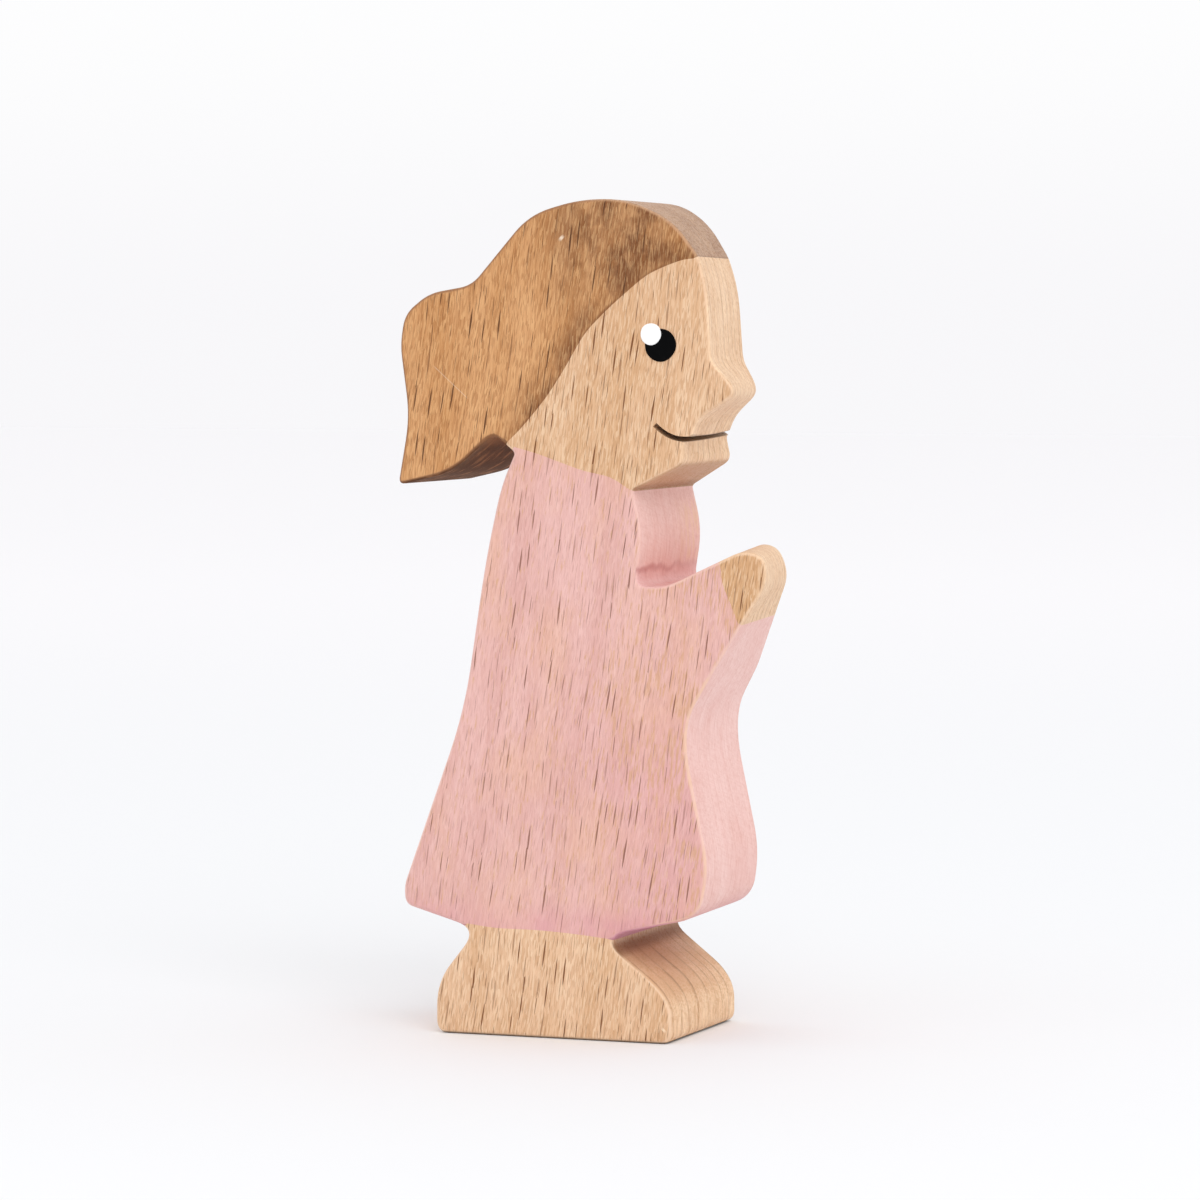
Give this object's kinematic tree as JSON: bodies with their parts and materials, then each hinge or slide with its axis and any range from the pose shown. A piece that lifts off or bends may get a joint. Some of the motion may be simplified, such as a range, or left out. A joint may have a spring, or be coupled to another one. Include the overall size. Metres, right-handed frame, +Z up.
{
  "type": "flat wooden girl figure",
  "caption": "Flat standing girl figure sawn in profile from a beech board, with stained hair and dress, painted dot eyes, a sawn smile and a flat sole.",
  "frame": {"origin": "middle of the figure's bounding box, at the level of the sole", "axes": "+Z up, +X the way the face looks, -Y the figure's right side, which the picture shows"},
  "size_m": [0.0417, 0.0204, 0.09],
  "materials": {
    "beech": "fine sanded bare beech, waxed, grain upright",
    "hair_stain": "brown wood stain that lets the grain show",
    "dress_stain": "thin pink wash that lets the grain show",
    "eye_black": "satin black paint dot",
    "eye_white": "satin white paint dot"
  },
  "bodies": {
    "root": {"wooden_figure": "beech", "hair_stain": "hair_stain", "dress_stain": "dress_stain", "right_eye_dot": "eye_black", "right_eye_highlight": "eye_white", "left_eye_dot": "eye_black", "left_eye_highlight": "eye_white"}
  },
  "joints": []
}
